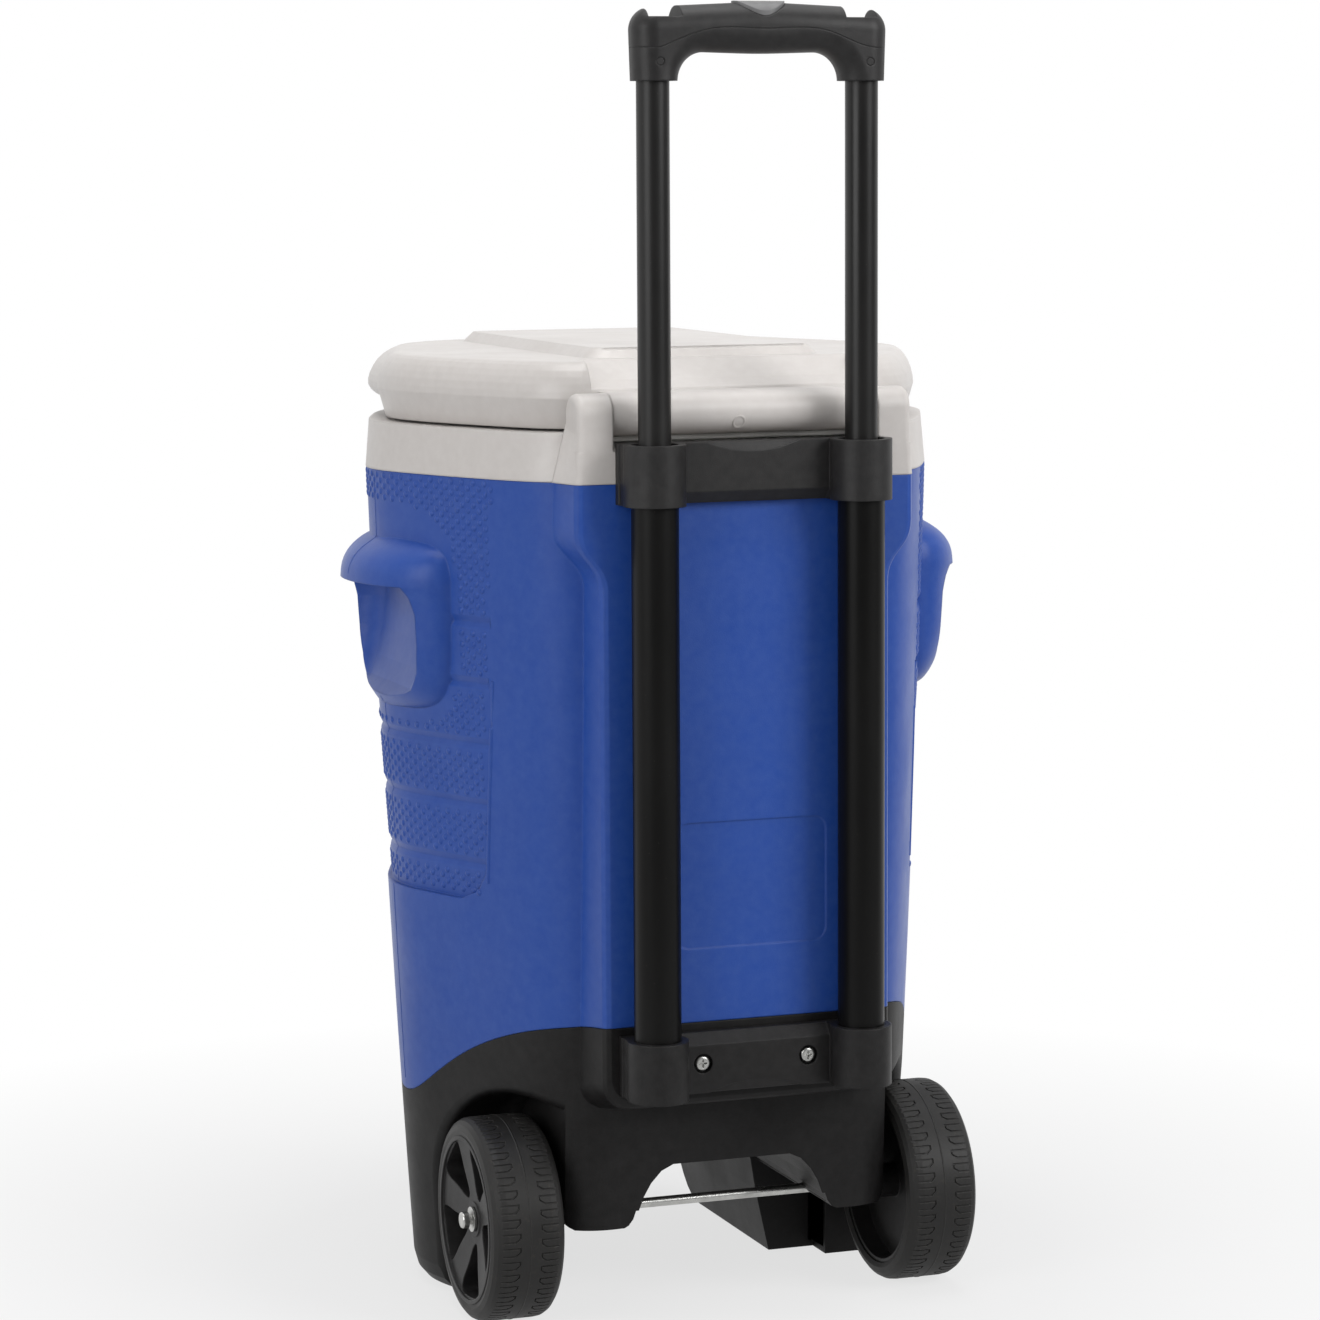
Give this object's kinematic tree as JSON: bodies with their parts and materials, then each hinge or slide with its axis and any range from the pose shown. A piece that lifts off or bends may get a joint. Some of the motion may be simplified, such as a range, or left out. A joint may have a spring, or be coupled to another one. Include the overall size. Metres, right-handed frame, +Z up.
{
  "type": "wheeled cooler",
  "caption": "Upright insulated drinks cooler on two wheels, with a hinged lid, moulded side handles, a push tap and a telescopic tow handle.",
  "frame": {"origin": "on the ground, midway between the front of the lid's lip and the back of the tow handle's brackets, halfway between the wheels", "axes": "+Z up, +Y to the back where the tow handle stands, -Y to the front with the tap, +X to the left seen from behind"},
  "size_m": [0.387, 0.404, 0.7756],
  "materials": {
    "blue_plastic": "fine grained moulding",
    "black_plastic": "fine grained moulding",
    "pale_plastic": "fine grained moulding",
    "food_plastic": "smooth moulding",
    "foam": "cellular foam",
    "black_tube": "satin black coating",
    "grey_plastic": "fine grained moulding",
    "steel": "bright zinc plating",
    "tyre_plastic": "hard moulded tread",
    "seal_rubber": "soft"
  },
  "bodies": {
    "cooler": {"body_shell": "blue_plastic", "base_moulding": "black_plastic", "inner_liner": "food_plastic", "insulation_foam": "foam", "top_collar": "pale_plastic", "hinge_pins": "steel", "lower_bracket": "black_plastic", "upper_bracket": "black_plastic", "bracket_screws": "steel", "tube_guides": "black_plastic", "outer_tube_left": "black_tube", "outer_tube_right": "black_tube", "axle": "steel", "axle_washers": "steel", "axle_caps": "steel", "tap_body": "pale_plastic", "tap_nut": "pale_plastic", "tap_gasket": "seal_rubber", "tap_spring": "steel"},
    "lid": {"lid_shell": "pale_plastic", "lid_liner": "food_plastic", "lid_foam": "foam"},
    "handle": {"inner_tube_left": "black_tube", "inner_tube_right": "black_tube", "slider_plug_left": "black_plastic", "slider_plug_right": "black_plastic", "grip_lower": "black_plastic", "grip_upper": "black_plastic", "grip_rivets": "black_plastic", "button_springs": "steel", "lock_springs": "steel"},
    "release": {"release_button": "grey_plastic", "release_bar": "black_plastic", "push_rods": "steel"},
    "pin_left": {"lock_pin_left": "steel"},
    "pin_right": {"lock_pin_right": "steel"},
    "wheel_left": {"wheel_rim_left": "black_plastic", "tyre_left": "tyre_plastic"},
    "wheel_right": {"wheel_rim_right": "black_plastic", "tyre_right": "tyre_plastic"},
    "tap": {"tap_button": "blue_plastic"}
  },
  "joints": [
    {"name": "lid_hinge", "type": "hinge", "parent": "cooler", "child": "lid", "pos_m": [0, 0.1505, 0.542], "axis": [-1, 0, 0], "range_deg": [0, 75]},
    {"name": "handle_slide", "type": "slide", "parent": "cooler", "child": "handle", "axis": [0, 0, 1], "range_m": [-0.2044, 0]},
    {"name": "button_press", "type": "slide", "parent": "handle", "child": "release", "axis": [0, 0, -1], "range_m": [0, 0.0035], "stiffness_N_per_m": 1500, "springref_m": -0.004},
    {"name": "pin_slide_left", "type": "slide", "parent": "handle", "child": "pin_left", "axis": [0, 1, 0], "range_m": [0, 0.0035]},
    {"name": "pin_slide_right", "type": "slide", "parent": "handle", "child": "pin_right", "axis": [0, 1, 0], "range_m": [0, 0.0035]},
    {"name": "wheel_spin_left", "type": "hinge", "parent": "cooler", "child": "wheel_left", "pos_m": [0.1315, 0.091, 0.061], "axis": [1, 0, 0], "continuous": true},
    {"name": "wheel_spin_right", "type": "hinge", "parent": "cooler", "child": "wheel_right", "pos_m": [-0.1315, 0.091, 0.061], "axis": [1, 0, 0], "continuous": true},
    {"name": "tap_press", "type": "slide", "parent": "cooler", "child": "tap", "axis": [0, 1, 0], "range_m": [0, 0.004], "stiffness_N_per_m": 600, "springref_m": -0.004}
  ],
  "couplings": [
    {"joint": "pin_slide_left", "follows": "button_press", "ratio": 1},
    {"joint": "pin_slide_right", "follows": "button_press", "ratio": 1}
  ]
}
